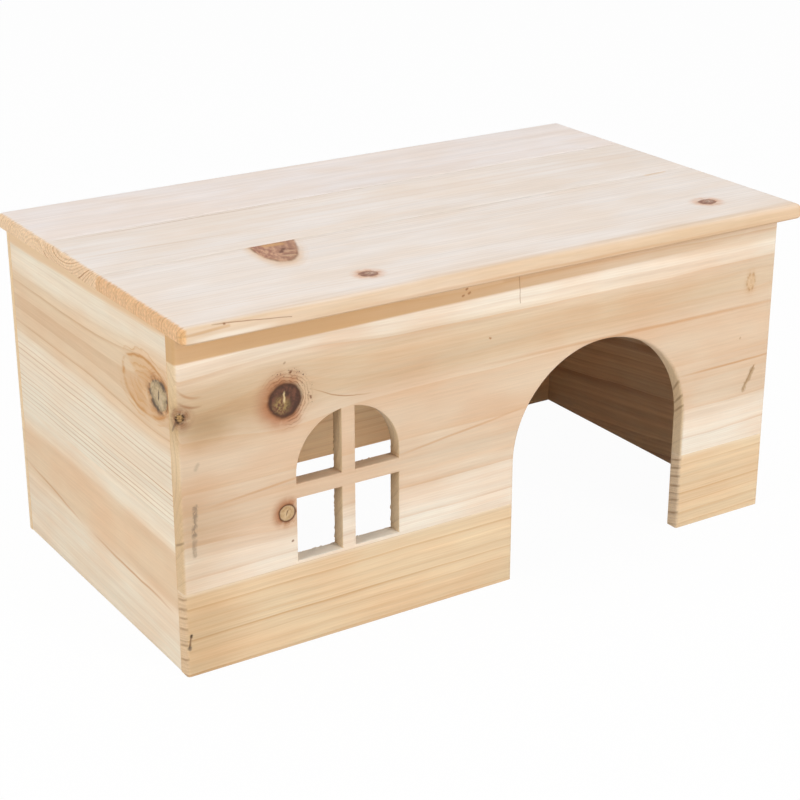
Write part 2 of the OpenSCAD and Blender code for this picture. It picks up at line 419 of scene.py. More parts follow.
def makeWall(side, level):
    wear = wallWear
    node = f"{side}_{level}_board"
    back, low = side == "back", level == "lower"
    ends = wear["corner round" if back else "end ease"]
    edges = edgeSet(ends, ends, wear["ground ease" if low else "glue ease"], wear["glue ease"])
    foot = wear["inner ground" if low else "inner glue"]
    innerEdges = edgeSet(wear["inner ends"], wear["inner ends"], foot, wear["inner glue"])

    def stapleSlots(a, b):
        # narrow upright slots with steep walls, over the staples at the back corners
        half = wear["slot half"]
        over = [np.maximum(np.abs(a - x) - half[0], np.abs(b - z) - half[1]) for x, z in wear["slots at"]]
        return wear["slot deep"] * np.clip(-np.min(over, axis=0) / wear["slot wall"], 0, 1)

    spots = [patch(spot, *wear["slot net"]) for spot in wear["slots at"]] if back else []
    return plainBoard(f"{side}{level.capitalize()}Board", node, side, edges, innerEdges,
                      patches=spots, hollows=stapleSlots if back else None)


wallBoards = {(side, level): makeWall(side, level)
              for side in ("left", "right", "back") for level in ("upper", "lower")}
print("walls:", [len(piece.data.polygons) for piece in wallBoards.values()])


# roof

roofShape = {
    "half width": 208.0, "half depth": 123.0, "corner": 4.0,
    "top round": 4.0, "low round": 2.0, "glue ease": 0.15,
}


def roofGap(a, b):
    # distance inside the roof's outline, a rectangle with rounded corners
    s = roofShape
    over = np.stack([np.abs(a) - s["half width"] + s["corner"], np.abs(b) - s["half depth"] + s["corner"]])
    return s["corner"] - np.hypot(*np.maximum(over, 0)) - np.minimum(over.max(axis=0), 0)


def toCorner(points):
    # presses a square corner into the rounded one: each of two shares is shortened by sqrt(1 - other^2 / 2)
    s = roofShape
    half = np.array([s["half width"], s["half depth"]])
    share = np.clip((np.abs(points) - half + s["corner"]) / s["corner"], 0, 1)
    eased = share * np.sqrt(1 - share[:, ::-1] ** 2 / 2)
    return points + np.sign(points) * (eased - share) * s["corner"]


def makeRoof(level, step=2.4):
    s = roofShape
    node = f"roof_{level}_board"
    place = stand(node, "roof")
    u, v = place["u"], place["v"]
    lip, seam = arcRows(s["top round"], 6), arcRows(s["glue ease"], 2)
    near, far = (lip if level == end else seam for end in ("front", "back"))
    rowsAt = edgeSet(lip, lip, near, far)
    loop, us, vs = rectLoop(u, v, step, rowsAt)
    upright = lambda x: np.column_stack([np.full(len(vs) - 2, x), vs[1:-1]])
    flat = lambda y: np.column_stack([us[1:-1], np.full(len(us) - 2, y)])
    rows = [upright(x) for x in (*(u[0] + lip), *(u[1] - lip))]
    rows += [flat(y) for y in (*(v[0] + near), *(v[1] - far))]
    rows = np.unique(np.round(np.concatenate(rows), 4), axis=0)

    def inside(a, b):
        return (roofGap(a, b) > 0) & (b > v[0]) & (b < v[1])

    def cut(a, b, radius):
        gaps = ((b - v[0], near), (v[1] - b, far))
        seams = [roundEdge(gap, s["glue ease"]) for gap, cuts in gaps if cuts is seam]
        return np.max([roundEdge(roofGap(a, b), radius)] + seams, axis=0)

    net = sheet([toCorner(loop)], [toCorner(rows)], [], inside, step)
    return boardPiece(f"roof{level.capitalize()}Board", node, place, net,
                      lambda a, b: cut(a, b, s["top round"]), lambda a, b: cut(a, b, s["low round"]), rows=4)


roofBoards = {level: makeRoof(level) for level in ("front", "middle", "back")}
print("roof:", [len(piece.data.polygons) for piece in roofBoards.values()])


# finishes: node groups first, then one material for each board

def tone(code):
    # a written colour, as the linear values that a shader takes
    parts = np.array([int(code[at:at + 2], 16) for at in (1, 3, 5)]) / 255
    line = np.where(parts <= 0.04045, parts / 12.92, ((parts + 0.055) / 1.055) ** 2.4)
    return (*line.tolist(), 1.0)


def toned(values):
    return {key: tone(value) if isinstance(value, str) else value for key, value in values.items()}


class Wiring:
    # puts nodes into one tree, and gives back the socket that holds each result
    def __init__(self, tree):
        self.tree = tree

    def put(self, kind, feeds=(), **settings):
        made = self.tree.nodes.new("ShaderNode" + kind)
        for key, value in settings.items():
            setattr(made, key, value)
        for key, value in dict(feeds).items():
            if isinstance(value, bpy.types.NodeSocket):
                self.join(value, made.inputs[key])
            else:
                made.inputs[key].default_value = value
        return made

    def join(self, value, socket):
        self.tree.links.new(value, socket)

    def calc(self, operation, *values):
        return self.put("Math", enumerate(values), operation=operation).outputs[0]

    def total(self, first, *others):
        for other in others:
            first = self.calc("ADD", first, other)
        return first

    def product(self, first, *others):
        for other in others:
            first = self.calc("MULTIPLY", first, other)
        return first

    def minus(self, first, second):
        return self.calc("SUBTRACT", first, second)

    def over(self, first, second):
        return self.calc("DIVIDE", first, second)

    def scaled(self, value, factor, rest):  # value times factor, plus the rest
        return self.calc("MULTIPLY_ADD", value, factor, rest)

    def centred(self, noise):  # about nought instead of a half
        return self.minus(noise, 0.5)

    def length(self, x, y):
        return self.calc("SQRT", self.scaled(x, x, self.product(y, y)))

    def slope(self, value, low, high):  # 0 at low, 1 at high, eased at both ends
        feeds = {"Value": value, "From Min": low, "From Max": high}
        return self.put("MapRange", feeds, interpolation_type="SMOOTHSTEP").outputs[0]

    def span(self, value, low, high):  # stretches 0 to 1 over low to high
        return self.put("MapRange", {"Value": value, "To Min": low, "To Max": high}, clamp=False).outputs[0]

    def between(self, share, first, second):
        return self.put("Mix", {0: share, 2: first, 3: second}).outputs[0]

    def mix(self, share, first, second, blend="MIX"):
        feeds = {0: share, 6: first, 7: second}
        return self.put("Mix", feeds, data_type="RGBA", blend_type=blend).outputs[2]

    def tinted(self, share, colour, tint):  # multiplied by a tint, as far as the share says
        return self.mix(share, colour, self.mix(1.0, colour, tint, "MULTIPLY"))

    def texture(self, x, y, z, detail=2.0):
        seat = self.put("CombineXYZ", {0: x, 1: y, 2: z}).outputs[0]
        feeds = {"Vector": seat, "Scale": 1.0, "Detail": detail, "Roughness": 0.5}
        return self.put("TexNoise", feeds).outputs

    def noise(self, x, y, z, detail=2.0):
        return self.texture(x, y, z, detail)[0]

    def twoNoises(self, x, y, z, detail=2.0):  # two unlike values from one texture
        both = self.put("SeparateColor", {0: self.texture(x, y, z, detail)[1]}).outputs
        return both[0], both[1]

    def seenRay(self):  # 1 where the camera, a mirror or glass looks straight at the surface
        path = self.put("LightPath").outputs
        return self.total(path["Is Camera Ray"], path["Is Glossy Ray"], path["Is Transmission Ray"])


def shaderGroup(name, takes, gives):
    # an empty group with its sockets, its wiring, what comes in and where it goes out
    tree = bpy.data.node_groups.new(name, "ShaderNodeTree")
    for label, value in takes.items():
        kind = "NodeSocketColor" if isinstance(value, tuple) else "NodeSocketFloat"
        tree.interface.new_socket(label, in_out="INPUT", socket_type=kind).default_value = value
    for label, kind in gives.items():
        tree.interface.new_socket(label, in_out="OUTPUT", socket_type="NodeSocket" + kind)
    entry, leave = tree.nodes.new("NodeGroupInput"), tree.nodes.new("NodeGroupOutput")
    return tree, Wiring(tree), entry.outputs, leave.inputs


paint = {"Colour": "Color", "Height": "Float"}  # what the groups that draw on the surface give
softwoodGrain = {  # lengths of its waves and fibres: along the board, and across it
    "slow wave": (190.0, 80.0), "short wave": (58.0, 24.0), "fibre": (60.0, 1.3), "fluff": (13.0, 0.6),
    "streak": (140.0, 4.2), "line fade": 120.0, "fine fade": 70.0,
    "seed along": 131.0, "seed ring": 17.0,  # how far a seed moves the pattern, and the rings' chances
    "fine lines": 3.7, "end fine": 0.6,  # fine lines to a ring, and their share on end grain
    "quiet edge": 6.0, "fibre tone": (0.92, 1.08), "fluff tone": (0.94, 1.06),
    "relief": (0.7, 0.5, 0.5),  # of the fibres, long and short, and of the ring lines
}
knotGrain = {  # scales of its noises, where its specks lie, and how deep each of its parts is
    "cloud": 2.2, "grit": 8.0, "around": 1.4, "speck ring": 1.62, "speck turn": 0.85,
    "core deep": -0.6, "rim deep": -1.6, "split deep": -1.2, "speck deep": -1.0, "grit high": 0.8,
}


def makeSoftwood():
    # growth rings about a pith that runs along the board, so that faces and end grain agree
    size = softwoodGrain
    white = tone("#ffffff")
    tree, w, enter, leave = shaderGroup("softwood", {
        "Along": 0.0, "Across": 0.0, "Depth": 0.0, "Shift": 0.0,
        "Pith across": 0.0, "Pith depth": 40.0, "Lean": 0.0, "Ring": 6.0, "Phase": 0.0,
        "Heart": 60.0, "Heart soft": 8.0, "Heart lines": 0.7, "Wander": 3.0, "Late": 0.5, "Line start": 0.3,
        "Uneven": 1.1, "Fine": 0.3, "Streak": 0.14, "Cloud": 0.3, "Quiet": 9000.0,
        "End": 0.0, "End cover": 0.8, "End lines": 0.8, "Fleck": 0.1, "Seed": 0.0,
        "Sapwood": white, "Heartwood": white, "Latewood": white, "Clouded": white,
        "Endwood": white, "Endline": white,
    }, paint)
    across, depth, seed, end = (enter[key] for key in ("Across", "Depth", "Seed", "End"))
    along = w.scaled(seed, size["seed along"], enter["Along"])

    def inWaves(key):
        long, wide = size[key]
        return w.over(along, long), w.over(across, wide), w.over(depth, wide)

    # the lines wander across the board, slowly and then in shorter waves
    slow = w.noise(*inWaves("slow wave"))
    short, cloud = w.twoNoises(*inWaves("short wave"))
    bend = w.scaled(w.centred(short), 0.5, w.product(w.centred(slow), 2.0))
    line = w.scaled(enter["Lean"], enter["Along"], enter["Pith across"])
    off = w.minus(w.total(across, enter["Shift"], w.product(bend, enter["Wander"])), line)
    radius = w.length(off, w.minus(depth, enter["Pith depth"]))
    # ring count from the pith, with uneven widths
    even = w.over(w.minus(radius, enter["Phase"]), enter["Ring"])
    count = w.scaled(w.noise(w.product(even, 0.43), seed, 0.3), enter["Uneven"], even)
    share = w.calc("FRACT", count)
    number = w.scaled(seed, size["seed ring"], w.calc("FLOOR", count))
    chance = w.calc("POWER", w.put("TexWhiteNoise", {"W": number}, noise_dimensions="1D").outputs[0], 1.6)
    rise = w.product(w.slope(share, enter["Line start"], 0.92), w.slope(share, 1.0, 0.95))
    fading = w.slope(w.noise(w.over(along, size["line fade"]), w.product(count, 0.8), seed), 0.25, 0.65)
    late = w.product(w.calc("POWER", rise, 1.6), w.span(chance, 0.25, 1.0), w.span(fading, 0.35, 1.0))
    close = w.calc("FRACT", w.product(count, size["fine lines"]))
    waxing = w.noise(w.over(along, size["fine fade"]), w.product(count, 1.9), 4.0)
    fine = w.product(w.slope(close, 0.1, 0.85), w.slope(close, 1.0, 0.9), waxing)
    # fibres, long and short, and broad streaks of tone
    fibre = w.noise(*inWaves("fibre"), 3.0)
    fluff = w.noise(*inWaves("fluff"))
    long, wide = size["streak"]
    streak = w.centred(w.noise(w.over(along, long), w.over(radius, wide), seed))
    soft = w.product(enter["Heart soft"], 0.5)
    edge = w.scaled(streak, enter["Heart soft"], radius)
    heart = w.slope(edge, w.total(enter["Heart"], soft), w.minus(enter["Heart"], soft))
    base = w.mix(heart, enter["Sapwood"], enter["Heartwood"])
    base = w.tinted(w.product(w.slope(cloud, 0.3, 0.7), enter["Cloud"]), base, enter["Clouded"])
    base = w.mix(1.0, base, w.scaled(streak, w.product(enter["Streak"], 2.0), 1.0), "MULTIPLY")
    base = w.mix(w.product(end, enter["End cover"]), base, enter["Endwood"])
    # ring lines, quieter in heartwood and above a given height, in another tone on end grain
    above = w.slope(w.minus(across, enter["Quiet"]), -size["quiet edge"], size["quiet edge"])
    calm = w.product(w.between(heart, 1.0, enter["Heart lines"]), w.span(above, 1.0, 0.2))
    lineTone = w.mix(end, enter["Latewood"], enter["Endline"])
    lines = w.between(end, w.product(enter["Late"], calm), enter["End lines"])
    ringed = w.mix(w.product(late, lines), base, lineTone)
    lines = w.between(end, w.product(enter["Fine"], calm), w.product(enter["End lines"], size["end fine"]))
    ringed = w.mix(w.product(fine, lines), ringed, lineTone)
    hairs = w.product(w.span(fibre, *size["fibre tone"]), w.span(fluff, *size["fluff tone"]))
    combed = w.mix(1.0, ringed, hairs, "MULTIPLY")
    sawn = w.scaled(w.centred(fibre), w.product(enter["Fleck"], end), 1.0)
    w.join(w.mix(1.0, combed, sawn, "MULTIPLY"), leave["Colour"])
    relief = [w.product(value, share) for value, share in zip((fibre, fluff, late), size["relief"])]
    w.join(w.total(*relief), leave["Height"])
    return tree


def makeKnotFlow():
    # growth lines pass a knot as water passes a post: pushed across the grain, less with distance
    tree, w, enter, leave = shaderGroup("knotFlow", {
        "Along": 0.0, "Across": 0.0, "Knot along": 0.0, "Knot across": 0.0, "Size": 5.0, "Long": 1.0,
        "Push": 1.0, "Rag": 0.16, "Slant": 0.0,
    }, {"Shift": "Float", "Radial": "Float", "Turn": "Float"})
    size = enter["Size"]
    db = w.minus(enter["Across"], enter["Knot across"])
    da = w.scaled(db, enter["Slant"], w.minus(enter["Along"], enter["Knot along"]))
    reach = w.product(size, size, 1.7)
    far = w.scaled(db, db, w.calc("POWER", w.product(da, 0.5), 2.0))
    push = w.over(w.product(reach, enter["Push"]), w.scaled(reach, 0.4, far))
    w.join(w.product(db, push, -1.0), leave["Shift"])
    stretched = w.over(da, enter["Long"])
    plain = w.over(w.length(stretched, db), size)
    scale = w.over(1.6, size)
    grain = w.noise(w.product(stretched, scale), w.product(db, scale), size, 3.0)
    w.join(w.scaled(w.centred(grain), enter["Rag"], plain), leave["Radial"])
    w.join(w.calc("ARCTAN2", db, stretched), leave["Turn"])
    return tree


def makeKnotFace():
    # a knot's own wood: mottled core with a grainy lighter patch and a crack, dark rim,
    # lines that curl round it, a stained halo that leans to one side, specks at its upper right
    size = knotGrain
    brown = tone("#6b4a36")
    tree, w, enter, leave = shaderGroup("knotFace", {
        "Colour": brown, "Height": 0.0, "Radial": 2.0, "Turn": 0.0, "Seed": 0.0,
        "Core": brown, "Mottle": brown, "Patch": brown, "Split": brown, "Rim": brown, "Halo": brown,
        "Curl ink": brown,
        "Core strength": 1.0, "Core rings": 4.0, "Ring strength": 0.18, "Ring stir": 3.0,
        "Patch strength": 0.0, "Patch along": -0.22, "Patch across": -0.28, "Patch reach": 0.8,
        "Split strength": 0.6, "Split turn": 1.57, "Split across": 0.0,
        "Rim width": 0.12, "Rim strength": 0.8, "Rim gaps": 0.35,
        "Halo reach": 2.2, "Halo strength": 0.6, "Lean turn": 3.5, "Lean": 0.0,
        "Curl": 0.4, "Curl count": 5.0, "Curl reach": 2.1, "Speck": 0.0,
    }, paint)
    radial, turn, seed = enter["Radial"], enter["Turn"], enter["Seed"]
    cosTurn, sinTurn = w.calc("COSINE", turn), w.calc("SINE", turn)
    x, y = w.product(radial, cosTurn), w.product(radial, sinTurn)
    cloud, drift = w.twoNoises(w.product(x, size["cloud"]), w.product(y, size["cloud"]), seed, 4.0)
    grit = w.noise(w.product(x, size["grit"]), w.product(y, size["grit"]), seed)
    roundX, roundY = w.product(cosTurn, size["around"]), w.product(sinTurn, size["around"])
    around = w.noise(roundX, roundY, w.scaled(radial, 0.5, seed), 3.0)
    leaning = w.product(w.calc("COSINE", w.minus(turn, enter["Lean turn"])), enter["Lean"])
    # the halo and the lines that curl round the knot
    halo = w.product(w.slope(radial, enter["Halo reach"], 0.7), w.slope(w.total(around, leaning), 0.2, 0.6))
    stained = w.tinted(w.product(halo, enter["Halo strength"]), enter["Colour"], enter["Halo"])
    turnLine = w.calc("FRACT", w.scaled(radial, enter["Curl count"], w.product(cloud, 1.8)))
    curl = w.product(w.slope(turnLine, 0.5, 0.95), w.slope(turnLine, 1.0, 0.96))
    curl = w.product(curl, w.slope(radial, enter["Curl reach"], 1.1))
    curl = w.product(curl, w.slope(w.minus(around, leaning), 0.36, 0.6), enter["Curl"])
    stained = w.mix(curl, stained, enter["Curl ink"])
    # the core: rings and mottling, the lighter patch, the crack
    ring = w.calc("SINE", w.scaled(cloud, enter["Ring stir"], w.product(radial, enter["Core rings"], 6.283)))
    mottle = w.slope(w.scaled(grit, 0.45, w.product(cloud, 0.55)), 0.35, 0.65)
    core = w.mix(w.scaled(ring, enter["Ring strength"], mottle), enter["Core"], enter["Mottle"])
    patchFar = w.length(w.minus(x, enter["Patch along"]), w.minus(y, enter["Patch across"]))
    light = w.product(w.slope(patchFar, enter["Patch reach"], 0.15), w.slope(grit, 0.36, 0.62))
    core = w.mix(w.product(light, enter["Patch strength"]), core, enter["Patch"])
    sinSplit, cosSplit = (w.calc(kind, enter["Split turn"]) for kind in ("SINE", "COSINE"))
    crack = w.minus(w.product(x, sinSplit), w.product(y, cosSplit))
    crack = w.calc("ABSOLUTE", w.scaled(w.centred(cloud), 0.3, crack))
    splitFar = w.length(x, w.minus(y, enter["Split across"]))
    split = w.product(w.slope(crack, 0.1, 0.02), w.slope(splitFar, 0.48, 0.2), enter["Split strength"])
    core = w.mix(split, core, enter["Split"])
    inCore = w.product(w.slope(radial, 1.06, 0.94), enter["Core strength"])
    filled = w.mix(inCore, stained, core)
    # the rim, with gaps, and the specks on an arc outside it
    gap = w.over(w.minus(radial, 1.0), enter["Rim width"])
    patchy = w.scaled(drift, 0.5, w.product(around, 0.5))
    kept = w.slope(patchy, enter["Rim gaps"], w.total(enter["Rim gaps"], 0.2))
    rim = w.product(w.calc("EXPONENT", w.product(gap, gap, -1.0)), kept, enter["Rim strength"])
    arc = w.slope(w.calc("ABSOLUTE", w.minus(radial, size["speck ring"])), 0.4, 0.15)
    arc = w.product(arc, w.slope(w.calc("COSINE", w.minus(turn, size["speck turn"])), 0.3, 0.65))
    speck = w.product(w.slope(grit, 0.62, 0.7), arc, enter["Speck"])
    w.join(w.mix(w.calc("MAXIMUM", rim, speck), filled, enter["Rim"]), leave["Colour"])
    sunk = w.total(w.product(inCore, size["core deep"]), w.product(rim, size["rim deep"]))
    sunk = w.total(sunk, w.product(split, inCore, size["split deep"]), w.product(speck, size["speck deep"]))
    w.join(w.total(enter["Height"], sunk, w.product(inCore, grit, size["grit high"])), leave["Height"])
    return tree


def makeStroke(name, broken):
    # a line drawn on a face: distance from a run that bows and wavers, fading to its ends;
    # the broken kind is torn in pieces
    dark = tone("#7a5a40")
    takes = {
        "Colour": dark, "Height": 0.0, "Along": 0.0, "Across": 0.0, "From along": 0.0, "From across": 0.0,
        "To along": 10.0, "To across": 0.0, "Width": 1.0, "Full": 0.3, "Soft": 0.5,
        "Waver": 1.0, "Wave": 12.0,
        "Bow": 0.0, "Fade": 0.0, "Strength": 0.7, "Sunk": 0.5, "Ink": dark, "Seed": 0.0,
    }
    if broken:
        takes.update({"Broken": 0.5, "Grain": 4.0})
    tree, w, enter, leave = shaderGroup(name, takes, paint)
    along, across, wave, seed = (enter[key] for key in ("Along", "Across", "Wave", "Seed"))
    sway, tug = w.twoNoises(w.over(along, wave), w.over(across, wave), seed)
    da = w.minus(w.scaled(w.centred(tug), enter["Waver"], along), enter["From along"])
    db = w.minus(w.scaled(w.centred(sway), enter["Waver"], across), enter["From across"])
    runA = w.minus(enter["To along"], enter["From along"])
    runB = w.minus(enter["To across"], enter["From across"])
    length = w.length(runA, runB)
    reach = w.over(w.scaled(da, runA, w.product(db, runB)), length)
    share = w.over(reach, length)
    hump = w.calc("MAXIMUM", w.product(share, w.minus(1.0, share), 4.0), 0.0)
    side = w.over(w.minus(w.product(da, runB), w.product(db, runA)), length)
    side = w.scaled(hump, enter["Bow"], side)
    past = w.minus(reach, w.calc("MINIMUM", w.calc("MAXIMUM", reach, 0.0), length))
    half = w.product(enter["Width"], 0.5)
    core = w.slope(w.length(past, side), w.total(half, enter["Soft"]), w.product(half, enter["Full"]))
    mask = w.product(core, w.scaled(w.minus(hump, 1.0), enter["Fade"], 1.0), enter["Strength"])
    if broken:
        grain = enter["Grain"]
        speck = w.noise(w.over(reach, grain), w.over(w.product(side, 2.5), grain), seed)
        limit = w.scaled(enter["Broken"], 0.62, -0.08)
        mask = w.product(mask, w.slope(speck, limit, w.total(limit, 0.14)))
    w.join(w.mix(mask, enter["Colour"], enter["Ink"]), leave["Colour"])
    w.join(w.minus(enter["Height"], w.product(mask, enter["Sunk"])), leave["Height"])
    return tree


softwood, knotFlow, knotFace = makeSoftwood(), makeKnotFlow(), makeKnotFace()
stroke, tornStroke = makeStroke("stroke", False), makeStroke("tornStroke", True)
print("groups:", [tree.name for tree in bpy.data.node_groups])

woodFinish = {
    "rough": (0.72, 0.56), "shine": 0.3, "relief": 0.35, "relief height": 0.0003,
    "inner face": (0.93, 0.99),  # shares of the thickness between which the inner tone sets in
    "stain rag": 0.5, "stain reach": 1.3, "knot reach": 4.0, "mark reach": 8.0,  # own sizes, then mm
    "end turn": (0.7, 0.98), "edge turn": (0.35, 0.7),  # how far a surface faces the axis asked for
    "saw tear": (3.0, 1.2),
    "knot seeds": (2.7, 0.4), "mark seeds": (1.9, 0.2),  # the step from one seed to the next, and the first
}


def woodMaterial(name, look, zone=None):
    # one board's wood: place on the board, knots that bend its lines, the wood, then what is on top;
    # a zone is a stretch along the board whose own knots and marks are drawn, over the same wood
    material = bpy.data.materials.new(name)
    material.use_nodes = True
    w = Wiring(material.node_tree)
    shader = material.node_tree.nodes["Principled BSDF"]
    seat = w.put("TexCoord").outputs
    grid = w.put("VectorMath", {0: seat["Object"], 1: (1 / mm,) * 3}, operation="MULTIPLY").outputs[0]
    xyz = dict(zip("xyz", w.put("SeparateXYZ", {0: grid}).outputs))
    facing = dict(zip("xyz", w.put("SeparateXYZ", {0: seat["Normal"]}).outputs))
    along, across = xyz[look["along"]], xyz[look["across"]]
    place = {"Along": along, "Across": across}
    axis, face, sign = look["depth"]
    depth = w.scaled(xyz[axis], sign, -sign * face)
    grown = toned(look["wood"])
    knots = look.get("knots", ())

    def inZone(low, high):
        return zone is None or (low < zone[1] and high > zone[0])

    def nearZone(spot, reach):
        reach *= spot["size"] * spot.get("long", 1.0)
        return inZone(spot["at"][0] - reach, spot["at"][0] + reach)

    def flowAt(spot):
        keys = ("size", "long", "push", "rag", "slant")
        sizes = {key.capitalize(): spot[key] for key in keys if key in spot}
        feeds = {**place, "Knot along": spot["at"][0], "Knot across": spot["at"][1], **sizes}
        return w.put("Group", feeds, node_tree=knotFlow).outputs

    def seedOf(number, key):
        step, first = woodFinish[key]
        return number * step + first

    aside = w.calc("ABSOLUTE", facing[look["along"]])
    if "ragged" in look:  # the saw has torn the edge of the end grain
        long, wide = woodFinish["saw tear"]
        sawn = w.noise(w.over(along, long), w.over(across, wide), 0.0)
        aside = w.scaled(w.centred(sawn), look["ragged"], aside)
    end = w.slope(aside, *look.get("ends", woodFinish["end turn"]))
    flows, shift = [], 0.0
    for knot in knots:
        flow = flowAt(knot)
        shift = w.total(shift, flow["Shift"])
        radial = flow["Radial"]
        if "deep" in knot:  # ends inside the board instead of running through it
            radial = w.length(radial, w.over(depth, knot["deep"]))
        flows.append((radial, flow["Turn"]))
    if "inside" in look:  # how far towards the inner face
        thick, innerTint = look["inside"]
        inner = w.slope(depth, *(thick * share for share in woodFinish["inner face"]))
        for key, value in look.get("inner wood", {}).items():
            grown[key] = w.span(inner, grown[key], value)
    feeds = {**place, "Depth": depth, "Shift": shift, "End": end, **grown}
    colour, height = w.put("Group", feeds, node_tree=softwood).outputs
    # some of these clouds are real tone of the wood, some are painted shade
    for toneCloud in look.get("stains", ()):  # broad soft clouds of another tone
        if nearZone(toneCloud, woodFinish["stain reach"]):
            spot = flowAt({"rag": woodFinish["stain rag"], **toneCloud})["Radial"]
            share = w.product(w.slope(spot, 1.0, toneCloud["inner"]), toneCloud.get("strength", 1.0))
            colour = w.tinted(share, colour, tone(toneCloud["tint"]))
    for number, (knot, (radial, turn)) in enumerate(zip(knots, flows)):
        if nearZone(knot, woodFinish["knot reach"]):
            feeds = {"Colour": colour, "Height": height, "Radial": radial, "Turn": turn,
                     "Seed": seedOf(number, "knot seeds"), **toned(knot["face"])}
            colour, height = w.put("Group", feeds, node_tree=knotFace).outputs
    for number, line in enumerate(look.get("marks", ())):
        stretch = [line["from"][0], line["to"][0]] if line["near"] is None else [line["near"]]
        if not inZone(min(stretch) - woodFinish["mark reach"], max(stretch) + woodFinish["mark reach"]):
            continue
        plane = line["plane"] or (look["along"], look["across"])
        feeds = {"Colour": colour, "Height": height, "Along": xyz[plane[0]], "Across": xyz[plane[1]],
                 "From along": line["from"][0], "From across": line["from"][1],
                 "To along": line["to"][0], "To across": line["to"][1],
                 "Seed": seedOf(number, "mark seeds")}
        feeds.update(toned(line["ink"]))
        if line["on"]:  # only where the surface faces along this axis
            turned = w.slope(w.calc("ABSOLUTE", facing[line["on"]]), *woodFinish["edge turn"])
            feeds["Strength"] = w.product(turned, feeds["Strength"])
        kind = tornStroke if "Broken" in line["ink"] else stroke
        colour, height = w.put("Group", feeds, node_tree=kind).outputs
    if "inside" in look:  # the unplaned inner face is browner
        colour = w.tinted(inner, colour, tone(innerTint))
    w.join(colour, shader.inputs["Base Color"])
    w.join(w.span(height, *woodFinish["rough"]), shader.inputs["Roughness"])
    shader.inputs["Specular IOR Level"].default_value = woodFinish["shine"]
    relief = {"Height": height, "Strength": woodFinish["relief"], "Distance": woodFinish["relief height"]}
    w.join(w.put("Bump", relief).outputs[0], shader.inputs["Normal"])
    return material


def mark(brush, fromAlong, fromAcross, toAlong, toAcross, plane=None, on=None, near=None, **changes):
    # a stroke between two places on a board, in millimetres, with some of its brush's values changed;
    # off the board's face it names the plane that it is drawn in, the axis that its surface faces
    # and where along the board it is
    ink = {**brush, **{key.capitalize(): value for key, value in changes.items()}}
    return {"from": (fromAlong, fromAcross), "to": (toAlong, toAcross),
            "plane": plane, "on": on, "near": near, "ink": ink}


jambMark = partial(mark, plane="yz", on="x")
lipMark = partial(mark, plane="xz", on="y")

darkKnot = {
    "Core": "#6e4634", "Mottle": "#4a3023", "Patch": "#b89a5e", "Split": "#dcc090", "Rim": "#4c3225",
    "Halo": "#ce9060", "Curl ink": "#8e5e3c", "Patch strength": 0.65, "Split strength": 0.9,
    "Split turn": 1.5, "Split across": 0.2, "Rim width": 0.13, "Rim strength": 0.75, "Rim gaps": 0.2,
    "Halo reach": 2.3, "Halo strength": 0.95, "Lean": 0.16, "Lean turn": 3.6, "Core rings": 2.2,
    "Curl": 0.95, "Speck": 0.95,
}
paleKnot = {
    "Core": "#cfb088", "Mottle": "#b48f62", "Patch": "#e0c8a2", "Split": "#6e4c30", "Rim": "#603c28",
    "Halo": "#bf8452", "Curl ink": "#a87446", "Patch strength": 0.5, "Split strength": 0.85,
    "Split turn": 1.2, "Rim strength": 0.95, "Rim gaps": 0.28, "Halo reach": 2.4, "Halo strength": 1.0,
    "Lean": 0.14, "Lean turn": 2.6, "Core rings": 1.6, "Curl": 0.5, "Curl count": 4.0,
}
cornerKnot = {
    "Core": "#cba268", "Mottle": "#74502f", "Split": "#4a3424", "Rim": "#2e1f17", "Halo": "#a87a54",
    "Curl ink": "#8a5c3a", "Split strength": 0.5, "Rim width": 0.36, "Rim strength": 0.95,
    "Rim gaps": 0.38, "Halo reach": 4.4, "Halo strength": 0.8, "Core rings": 1.0, "Curl": 0.6,
    "Curl count": 2.0, "Curl reach": 4.0,
}
greyKnot = {
    "Core": "#ceb48e", "Mottle": "#aa926c", "Patch": "#d8c8ac", "Split": "#4c3c30", "Rim": "#5b4d43",
    "Halo": "#f0c792", "Curl ink": "#c68a4c", "Patch strength": 0.4, "Split strength": 0.9,
    "Split turn": 1.7, "Rim width": 0.3, "Rim strength": 0.95, "Rim gaps": 0.4, "Halo reach": 1.9,
    "Halo strength": 0.85, "Core rings": 1.2, "Curl": 0.85, "Curl count": 5.5,
}
ovalRing = {
    "Rim": "#c8935c", "Halo": "#f7dfbe", "Curl ink": "#cf9a60", "Core strength": 0.0,
    "Split strength": 0.0, "Rim width": 0.05, "Rim strength": 0.9, "Rim gaps": 0.33, "Halo reach": 1.4,
    "Halo strength": 0.6, "Curl": 0.65, "Curl count": 4.0, "Curl reach": 1.5,
}
ghostKnot = {
    "Core": "#dfbd94", "Mottle": "#cda578", "Split": "#b98c5e", "Rim": "#b08254", "Halo": "#f0dcc0",
    "Curl ink": "#c39a6c", "Core strength": 0.45, "Split strength": 0.4, "Rim width": 0.2,
    "Rim strength": 0.65, "Rim gaps": 0.4, "Halo strength": 0.4, "Curl": 0.2,
}
roofKnot = {
    "Core": "#b08a74", "Mottle": "#82594a", "Patch": "#dcc2ae", "Split": "#4d3328", "Rim": "#84604e",
    "Halo": "#ecc2a4", "Curl ink": "#c09478", "Patch strength": 0.7, "Patch along": 0.3,
    "Patch across": 0.1, "Split strength": 0.3, "Split turn": 0.6, "Rim width": 0.3,
    "Rim strength": 0.35, "Rim gaps": 0.42, "Halo reach": 2.3, "Halo strength": 1.0, "Core rings": 1.5,
    "Curl": 0.1, "Curl count": 3.0,
}
